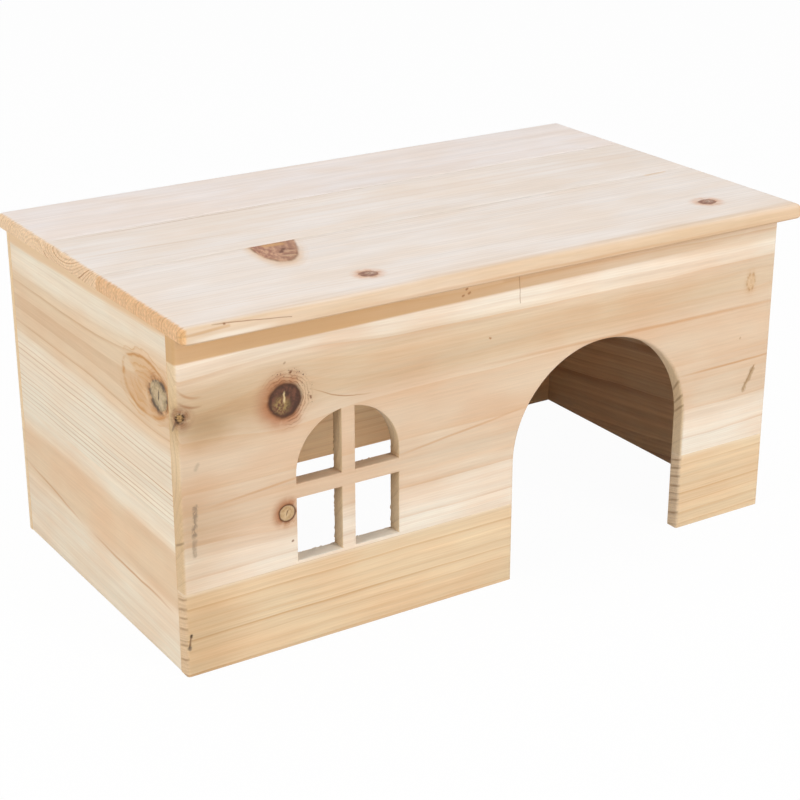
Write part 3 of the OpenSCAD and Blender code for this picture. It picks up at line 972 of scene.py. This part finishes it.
cometKnot = {
    "Core": "#cba082", "Mottle": "#a1745d", "Patch": "#9f6b57", "Rim": "#7a5443", "Halo": "#f0c894",
    "Curl ink": "#d8b48c", "Patch strength": 1.0, "Patch along": -0.7, "Patch across": -0.3,
    "Patch reach": 0.95, "Split strength": 0.0, "Rim width": 0.06, "Rim strength": 0.6,
    "Rim gaps": 0.36, "Halo reach": 1.5, "Halo strength": 1.0, "Lean": 0.1, "Lean turn": 3.6,
    "Core rings": 3.6, "Ring strength": 0.2, "Ring stir": 6.0, "Curl": 0.1,
}

# brushes for marks
hairline = {"Width": 0.25, "Soft": 0.35, "Waver": 1.6, "Strength": 0.7, "Ink": "#96683f"}
dot = {"Width": 0.9, "Soft": 0.5, "Waver": 0.6, "Wave": 2.0, "Strength": 0.85, "Ink": "#7c5236"}
ringLine = {"Width": 0.5, "Soft": 0.9, "Waver": 2.0, "Wave": 45.0, "Fade": 1.0, "Strength": 0.6, "Sunk": 0.1,
            "Ink": "#c58e5a"}
torn = {"Width": 2.8, "Soft": 0.7, "Waver": 3.4, "Wave": 3.5, "Broken": 0.7, "Grain": 4.0, "Strength": 0.7,
        "Sunk": 0.2, "Ink": "#8a7864"}
cometLine = {"Width": 0.6, "Soft": 0.9, "Waver": 2.6, "Wave": 6.0, "Fade": 0.4, "Strength": 0.7, "Sunk": 0.2,
             "Ink": "#80563f"}
jambLine = {"Width": 1.0, "Soft": 0.6, "Waver": 1.0, "Wave": 6.0, "Fade": 0.4, "Strength": 0.6, "Sunk": 0.0,
            "Ink": "#946a42"}
# painted shade of the roof on the left wall's top, with a brown tone of the wood
leftRoofShadeAndTan = {"Width": 14.0, "Full": 0.75, "Soft": 1.0, "Waver": 2.4, "Wave": 50.0, "Bow": 0.8,
            "Strength": 0.7, "Sunk": 0.0, "Ink": "#e0b888"}
# painted shadow of the roof's overhang on the front's top, mixed with a tan band of the wood
roofShadowAndTanBand = {"Width": 21.0, "Full": 0.88, "Soft": 0.3, "Waver": 1.2, "Wave": 90.0, "Fade": 0.9,
             "Strength": 0.86, "Sunk": 0.0, "Ink": "#cb9d66"}
lipShade = {"Width": 1.6, "Full": 0.2, "Soft": 2.6, "Waver": 0.8, "Wave": 60.0, "Fade": 0.4,
            "Strength": 0.5, "Sunk": 0.0, "Ink": "#b9814e"}
cornerStain = {"Width": 9.0, "Full": 0.2, "Soft": 2.0, "Waver": 3.0, "Wave": 14.0, "Strength": 0.22,
               "Sunk": 0.0, "Ink": "#cfae84"}
# a pale torn sliver on the roof's front edge, partly a painted highlight
paleSliverAndHighlight = {"Width": 3.0, "Soft": 0.9, "Waver": 1.2, "Wave": 20.0, "Fade": 0.9, "Strength": 0.8,
           "Sunk": 0.0, "Ink": "#f3e6d4"}
glueStain = {"Width": 2.6, "Soft": 1.8, "Waver": 1.5, "Strength": 0.55, "Sunk": 0.0, "Ink": "#e6c29a"}

# how each board lies, its wood, and what is on it
wallColours = {"Sapwood": "#f0e6d5", "Heartwood": "#e3caaa", "Latewood": "#cf9c6a", "Clouded": "#fbe9dc",
               "Endwood": "#e9cda3", "Endline": "#8f623a", "End lines": 0.22}
sideColours = {**wallColours, "Sapwood": "#eee2cc", "Heartwood": "#e6ccab"}
insideTint = "#fcead0"
frontLies = {"along": "x", "across": "z", "depth": ("y", -106.0, 1.0), "inside": (9.0, insideTint),
             "ends": (0.35, 0.95)}
leftLies = {"along": "y", "across": "z", "depth": ("x", -205.0, 1.0), "inside": (6.0, insideTint)}
roofLies = {"along": "x", "across": "y", "depth": ("z", 205.0, -1.0), "ends": (0.12, 0.6), "ragged": 0.5}

frontUpperLook = {
    **frontLies, "stops": (-180.0, -128.0, -60.0, 90.0),
    "wood": {**wallColours, "Pith across": 124.5, "Pith depth": 55.0, "Lean": 0.004, "Ring": 4.4,
             "Phase": 2.0, "Heart": 71.2, "Heart soft": 11.0, "Heart lines": 0.9, "Wander": 4.0,
             "Late": 0.42, "Fine": 0.14, "Streak": 0.12, "Cloud": 0.6, "Seed": 0.3,
             "Heartwood": "#dec7ac"},
    "stains": [
        {"at": (-178.0, 146.0), "size": 24.0, "long": 2.6, "tint": "#e4d8c4", "strength": 0.72, "inner": 0.0},
        {"at": (-190.0, 141.0), "size": 15.0, "long": 1.6, "tint": "#e6ddce", "strength": 0.9, "inner": 0.1},
        # painted shade: the left end of the front is darker
        {"at": (-212.0, 78.0), "size": 58.0, "long": 0.9, "tint": "#efe8df", "inner": 0.3, "rag": 0.2},
        # painted shade: a faint darker band across the front's upper part, below the roof
        {"at": (-40.0, 157.0), "size": 20.0, "long": 17.0, "tint": "#f6f2e9", "inner": 0.4, "rag": 0.2},
        {"at": (172.0, 187.0), "size": 11.0, "long": 9.0, "tint": "#f2ebe2", "inner": 0.4, "rag": 0.2},
    ],
    "knots": [
        {"at": (-142.0, 148.0), "size": 9.4, "rag": 0.22, "face": darkKnot},
        {"at": (-142.0, 82.5), "size": 4.9, "face": paleKnot},
        {"at": (-203.2, 151.2), "size": 2.3, "push": 1.6, "deep": 2.4, "face": cornerKnot},
        {"at": (185.5, 155.0), "size": 5.2, "long": 0.62, "push": 0.4, "face": ghostKnot},
    ],
    "marks": [
        # painted roof shadow and tan wood band under the roof's front edge
        mark(roofShadowAndTanBand, -430, 188.8, 170, 193.5),
        mark(lipShade, 0, 190.2, 215, 190.8),
        mark(dot, -26.4, 188.6, -25.8, 188.9, width=1.2, ink="#a06c44"),
        mark(dot, -28.8, 185.2, -28.0, 185.4, ink="#a87448"),
        mark(dot, -24.8, 186.0, -24.0, 186.4, width=1.0, ink="#a87448"),
        mark(hairline, -126, 152, -88, 141.5, width=0.4, bow=-3.2, fade=0.9, ink="#a87448"),
        mark(dot, -138.4, 163.2, -137.8, 163.6, width=1.3),
        mark(dot, -126.2, 147.2, -126, 146.2),
        mark(dot, -141.8, 168.9, -141.3, 169.2, strength=0.45),
        mark(hairline, 9.5, 191, 10.6, 174, waver=2.4, wave=14.0, strength=0.6),
        mark(torn, -196.4, 100.0, -197.6, 83.5),
        mark(torn, -198.2, 80.0, -198.0, 72, strength=0.5),
        mark(dot, -195.6, 121, -194.2, 123.4, width=1.6, soft=1.0, strength=0.35, ink="#9a8a76"),
        mark(ringLine, -205, 168, -190, 161, bow=-2.5, strength=0.55, ink="#b07a4a"),
        mark(ringLine, -205, 161, -190, 155.5, bow=-2.0, strength=0.65, ink="#9c6a40"),
        jambMark(jambLine, -106.5, 151.7, -100.3, 143.2, near=-205, width=1.3, fade=0.2, ink="#5c4230"),
        jambMark(cornerStain, -101.5, 52, -101.5, 112, near=-205),
        jambMark(jambLine, -98.0, 76.6, -106, 80.6, near=-205, ink="#7a5a3c"),
        mark(hairline, 193.4, 98.4, 187.5, 88.0, width=0.9, ink="#a37c54"),
        mark(torn, 192.0, 96.0, 185.6, 84.6, width=3.6, broken=0.5, ink="#a98a64"),
        mark(dot, -139.2, 64.9, -138.8, 65.2),
        # painted light: a pale stroke brightens the window sills, which face up
        mark(ringLine, -137, 52, -69, 52, on="z", fade=0.0, width=3.0, waver=0.0, strength=0.9,
             ink="#fff6e6"),
        mark(dot, -10.0, 157.0, -9.4, 156.6, ink="#a8744a"),
        mark(dot, 179.6, 119.0, 180.0, 119.6, strength=0.5, ink="#a8825a"),
        mark(ringLine, 130, 103.4, 222, 104.8, strength=0.7),
        mark(ringLine, -20, 141.2, 230, 139.6, width=0.8, soft=1.4),
        mark(ringLine, -190, 97.4, -120, 103.5, strength=0.5),
        mark(ringLine, -82, 98.0, 20, 110.0, strength=0.5),
        *(jambMark(jambLine, -97.5, low, -106, high, near=137)
          for low, high in ((92, 101), (83, 91), (77, 84))),
    ],
}
frontLowerLook = {
    **frontLies,
    "wood": {**wallColours, "Pith across": -150.0, "Pith depth": -40.0, "Lean": 0.006, "Ring": 6.2,
             "Phase": 0.5, "Heart": 500.0, "Heart soft": 9.0, "Heart lines": 1.0, "Late": 0.72,
             "Line start": 0.56, "Uneven": 2.6, "Fine": 0.2, "Cloud": 0.5, "End lines": 0.45,
             "Seed": 1.7, "Endwood": "#f2d8b6", "Heartwood": "#e8d0ac", "Latewood": "#c6955f"},
    "stains": [
        # painted shade: the left end of the front is darker
        {"at": (-212.0, 25.0), "size": 62.0, "long": 0.9, "tint": "#efe8df", "inner": 0.3, "rag": 0.2},
    ],
    "marks": [
        mark(ringLine, -206, 49.8, 206, 49.8, fade=0.0, width=0.8, soft=2.0, waver=1.0,
             strength=0.4, ink="#f0dfc8"),
        mark(ringLine, -206, 50.05, 10, 50.05, width=0.1, soft=0.25, waver=0.0,
             broken=0.6, grain=30.0, ink="#a87c50"),
        mark(hairline, -202.3, 25.0, -203.5, 17.6, width=0.7, ink="#8a7056"),
        mark(dot, -202.3, 25.4, -202.4, 24.4, width=1.4, ink="#6a5642"),
        mark(dot, -203.3, 18.2, -203.5, 17.2, width=1.8, ink="#7a6854"),
        *(jambMark(jambLine, -106, z + 2.6, -98.0, z) for z in (44.6, 39.0, 33.4, 26.8, 17.2, 8.4)),
    ],
}
leftUpperLook = {
    **leftLies,
    "wood": {**sideColours, "Pith across": 154.0, "Pith depth": 24.0, "Ring": 2.8, "Heart": 31.0,
             "Heart lines": 0.5, "Wander": 2.6, "Late": 0.95, "Line start": 0.6, "Uneven": 0.6, "Fine": 0.06,
             "Quiet": 172.0, "Streak": 0.12, "Cloud": 0.5, "Seed": 2.2, "Latewood": "#bd8a54"},
    "knots": [
        {"at": (-70.5, 158.0), "size": 15.6, "long": 1.78, "push": 0.25, "rag": 0.3, "face": ovalRing},
        {"at": (-86.0, 157.8), "size": 8.2, "long": 1.22, "push": 0.9, "face": greyKnot},
    ],
    "marks": [
        # painted roof shade and brown wood tone along the left wall's top
        mark(leftRoofShadeAndTan, 124, 195.4, -114, 200.4),
        mark(dot, -97.9, 178.4, -98.1, 179.2, width=1.3, ink="#7d5c46"),
    ],
}
leftLowerLook = {
    **leftLies,
    "wood": {**sideColours, "Pith across": 56.0, "Pith depth": 34.0, "Lean": 0.02, "Ring": 7.0, "Heart": 39.0,
             "Heart lines": 0.6, "Late": 0.4, "Fine": 0.12, "Streak": 0.12, "Cloud": 0.6, "Seed": 3.9},
    "marks": [
        mark(ringLine, 116, 49, 22, 38, width=0.7, waver=3.0),
        mark(ringLine, 22, 38, -98, 33, width=0.9, waver=3.0, strength=0.7, ink="#c08850"),
    ],
}
rightLook = {
    "along": "y", "across": "z", "depth": ("x", 205.0, -1.0), "inside": (6.0, "#fff8ee"),
    "inner wood": {"Late": 0.85, "Fine": 0.3, "Streak": 0.25},
    "wood": {**sideColours, "Pith across": -42.0, "Pith depth": -20.0, "Lean": -0.13, "Ring": 12.0,
             "Phase": 1.0, "Heart": 120.0, "Heart soft": 30.0, "Heart lines": 1.0, "Wander": 4.0,
             "Late": 0.28, "Line start": 0.25, "Uneven": 1.6, "Fine": 0.12, "Streak": 0.12,
             "Cloud": 0.6, "Seed": 5.3, "Latewood": "#98643e"},
}
backLook = {
    "along": "x", "across": "z", "depth": ("y", 117.0, -1.0), "inside": (6.0, "#ffe8c8"),
    "wood": {**wallColours, "Pith across": 150.0, "Lean": 0.01, "Phase": 1.0, "Heart": 66.0,
             "Heart soft": 12.0, "Heart lines": 0.8, "Wander": 4.0, "Late": 0.45, "Fine": 0.15,
             "Streak": 0.12, "Cloud": 0.5, "Seed": 6.1, "Sapwood": "#faecd8", "Heartwood": "#f8dcba"},
}
roofWood = {
    "Wander": 2.5, "Late": 0.26, "Fine": 0.1, "Streak": 0.08, "Cloud": 0.6, "End lines": 0.6, "Fleck": 0.6,
    "Sapwood": "#f1e8e1", "Heartwood": "#dfc3a2", "Latewood": "#d9b898", "Clouded": "#faf0e4",
    "Endwood": "#f2cfa0", "Endline": "#aa6a34",
}
roofFrontLook = {
    **roofLies, "stops": (-125.0, -89.0, 100.0),
    "wood": {**roofWood, "Pith across": -127.0, "Pith depth": 5.0, "Ring": 3.0, "Heart": 10.5,
             "Heart soft": 15.0, "Seed": 7.7, "Endwood": "#e6b376", "End lines": 0.5},
    "knots": [
        {"at": (-100.2, -18.5), "size": 34.0, "long": 0.415, "slant": -0.25, "push": 0.03, "rag": 0.2,
         "face": cometKnot},
        {"at": (-83.2, -95.7), "size": 4.8, "long": 1.1, "push": 0.6, "rag": 0.45, "face": roofKnot},
        {"at": (162.0, -88.2), "size": 5.2, "long": 1.1, "push": 0.6, "rag": 0.45, "face": roofKnot},
    ],
    "marks": [
        # pale sliver on the roof's front edge, partly a painted highlight
        lipMark(paleSliverAndHighlight, -206, 198.0, -154, 198.6),
        lipMark(hairline, -190.5, 204.4, -146, 200.8, soft=0.25, bow=0.5, waver=1.0, ink="#8d5c3a"),
        lipMark(dot, -184.2, 203.9, -183.6, 203.9, width=0.6, ink="#8d5c3a"),
        # painted shade: a dark line along the roof's lower front edge, where its rounding turns down
        lipMark(ringLine, -215, 196.6, 215, 196.6, fade=0.0, width=0.6, soft=0.6, waver=0.6, ink="#b58a5c"),
        lipMark(ringLine, -206, 201.4, -182, 202.6, width=1.0, soft=0.8, fade=0.3, ink="#c4935c"),
        mark(dot, -106, -22.5, -97, -23.5, width=3.0, soft=3.0, strength=0.8, ink="#d0a06c"),
        mark(cometLine, -99.4, -33.5, -94.2, -35.0),
        mark(cometLine, -102.0, -37.0, -95.4, -38.6, ink="#e2c4a0"),
        mark(cometLine, -104.0, -40.4, -97.0, -42.6),
        mark(cometLine, -106.0, -43.0, -99.2, -46.0, ink="#e2c4a0"),
        mark(cometLine, -109.0, -46.4, -103.0, -50.0),
        mark(dot, -99.3, -32.0, -104.3, -37.6, width=1.6, soft=1.0, waver=3.0, ink="#6a4436"),
        lipMark(ringLine, -146, 198.4, 215, 198.0, soft=1.2, strength=0.4),
        mark(glueStain, 170, -21.3, 184, -20.3),
    ],
}
roofMiddleLook = {
    **roofLies,
    "wood": {**roofWood, "Pith across": 24.5, "Pith depth": -38.0, "Ring": 1.8, "Heart": 0.0,
             "Heart soft": 4.0, "Seed": 8.4, "End lines": 1.0},
    "marks": [
        mark(ringLine, -207, 47.5, -30, 47.9, soft=0.6, ink="#bb9a7e"),
        mark(ringLine, -207, 50.9, 70, 50.9, width=0.3, soft=0.5, waver=0.0, ink="#b5977e"),
        mark(ringLine, -207, 12.5, -90, 8.5, soft=1.6, strength=0.35, ink="#d2b492"),
    ],
}
roofBackLook = {
    **roofLies,
    "wood": {**roofWood, "Pith across": 62.5, "Pith depth": 24.0, "Ring": 2.2, "Heart": 0.0,
             "Heart soft": 4.0, "Seed": 9.9, "Sapwood": "#f2e9e5"},
}
looks = {
    "frontUpperWood": (frontUpperLook, frontBoards[:1]),
    "frontLowerWood": (frontLowerLook, frontBoards[1:]),
    "leftUpperWood": (leftUpperLook, [wallBoards["left", "upper"]]),
    "leftLowerWood": (leftLowerLook, [wallBoards["left", "lower"]]),
    "rightWood": (rightLook, [wallBoards["right", "upper"], wallBoards["right", "lower"]]),
    "backWood": (backLook, [wallBoards["back", "upper"], wallBoards["back", "lower"]]),
    "roofFrontWood": (roofFrontLook, [roofBoards["front"]]),
    "roofMiddleWood": (roofMiddleLook, [roofBoards["middle"]]),
    "roofBackWood": (roofBackLook, [roofBoards["back"]]),
}
for name, (look, pieces) in looks.items():
    stops = look.get("stops", ())  # where one zone's material meets the next along the board
    ends = [-math.inf, *stops, math.inf]
    finishes = [woodMaterial(f"{name}{number}" if stops else name, look, zone if stops else None)
                for number, zone in enumerate(zip(ends[:-1], ends[1:]), 1)]
    for piece in pieces:
        centre = np.zeros(len(piece.data.polygons) * 3)
        piece.data.polygons.foreach_get("center", centre)
        for finish in finishes:
            piece.data.materials.append(finish)
        zoneIds = np.searchsorted(stops, centre.reshape(-1, 3)[:, "xyz".index(look["along"])] / mm)
        piece.data.polygons.foreach_set("material_index", zoneIds.astype(np.int32))

steelLook = {"dark": "#8d8f92", "light": "#c3c5c8", "rough": (0.5, 0.3), "cloud scale": 900.0}


def makeSteel():
    # dull galvanised wire: brightness and roughness drift in small clouds
    material = bpy.data.materials.new("dullSteel")
    material.use_nodes = True
    w = Wiring(material.node_tree)
    shader = material.node_tree.nodes["Principled BSDF"]
    seat = w.put("TexCoord").outputs["Object"]
    drift = w.put("TexNoise", {"Vector": seat, "Scale": steelLook["cloud scale"], "Detail": 3.0}).outputs[0]
    w.join(w.mix(drift, tone(steelLook["dark"]), tone(steelLook["light"])), shader.inputs["Base Color"])
    w.join(w.span(drift, *steelLook["rough"]), shader.inputs["Roughness"])
    shader.inputs["Metallic"].default_value = 1.0
    return material


steel = makeSteel()
for name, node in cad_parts.items():
    if name.endswith(("staples", "pins")):
        for place in node.material_slots:
            place.material = steel
print("finishes:", len(looks) + 1)


# floor, light and camera

stageLook = {"floor": 6.0, "white": 0.97, "matt": 0.88, "fill": 0.30}
lamps = {  # place, what it is aimed at, power, width and height
    "key": ((0.6, -1.6, 1.5), (0, -0.1, 0.15), 7.6, (0.7, 0.12)),
    "frontBox": ((0.6, -2.0, 0.85), (0, 0, 0.1), 16.8, (0.8, 0.5)),
    "leftBox": ((-2.3, -0.4, 1.0), (0, 0, 0.1), 23.0, (1.2, 0.9)),
    "topBox": ((-0.1, 0.35, 2.4), (0, 0, 0.2), 17.3, (1.5, 1.2)),
}
lens = {"place": (-0.5892, -0.9165, 0.5221), "down": 22.03, "turn": 32.657, "focal": 85.1, "sensor": 36.0}


def makeStage():
    half = stageLook["floor"] / 2
    mesh = bpy.data.meshes.new("floor")
    corners = [(-half, -half, 0), (half, -half, 0), (half, half, 0), (-half, half, 0)]
    mesh.from_pydata(corners, [], [(0, 1, 2, 3)])
    floor = bpy.data.objects.new("floor", mesh)
    bpy.context.scene.collection.objects.link(floor)
    material = bpy.data.materials.new("paleFloor")
    material.use_nodes = True
    material.node_tree.nodes.clear()
    w = Wiring(material.node_tree)
    matt = w.put("BsdfDiffuse", {"Color": (stageLook["matt"],) * 3 + (1,)})
    glow = w.put("Emission", {"Strength": 1.0})
    share = w.product(w.seenRay(), stageLook["white"])
    mixed = w.put("MixShader", {0: share, 1: matt.outputs[0], 2: glow.outputs[0]})
    w.put("OutputMaterial", {0: mixed.outputs[0]})
    mesh.materials.append(material)


def makeSky():
    # white to look at, and a plain even fill for everything else
    world = bpy.data.worlds.new("studio")
    bpy.context.scene.world = world
    world.use_nodes = True
    w = Wiring(world.node_tree)
    background = world.node_tree.nodes["Background"]
    background.inputs["Color"].default_value = (1, 1, 1, 1)
    seen = w.put("Clamp", {0: w.seenRay()}).outputs[0]
    w.join(w.span(seen, stageLook["fill"], 1.0), background.inputs["Strength"])


def addLamp(name, place, aim, energy, size):
    data = bpy.data.lights.new(name, "AREA")
    data.energy = energy
    data.shape = "RECTANGLE"
    data.size, data.size_y = size
    lamp = bpy.data.objects.new(name, data)
    bpy.context.scene.collection.objects.link(lamp)
    lamp.location = place
    way = np.array(aim) - np.array(place)
    lamp.rotation_euler = (math.atan2(np.hypot(way[0], way[1]), -way[2]), 0, math.atan2(-way[0], way[1]))


def makeCamera():
    data = bpy.data.cameras.new("photoCamera")
    data.lens = lens["focal"]
    data.sensor_width = lens["sensor"]
    camera = bpy.data.objects.new("photoCamera", data)
    bpy.context.scene.collection.objects.link(camera)
    camera.location = lens["place"]
    camera.rotation_euler = (math.radians(90 - lens["down"]), 0, -math.radians(lens["turn"]))
    bpy.context.scene.camera = camera


makeStage()
for name, values in lamps.items():
    addLamp(name, *values)
makeSky()
makeCamera()
bpy.context.scene.view_settings.view_transform = "Standard"
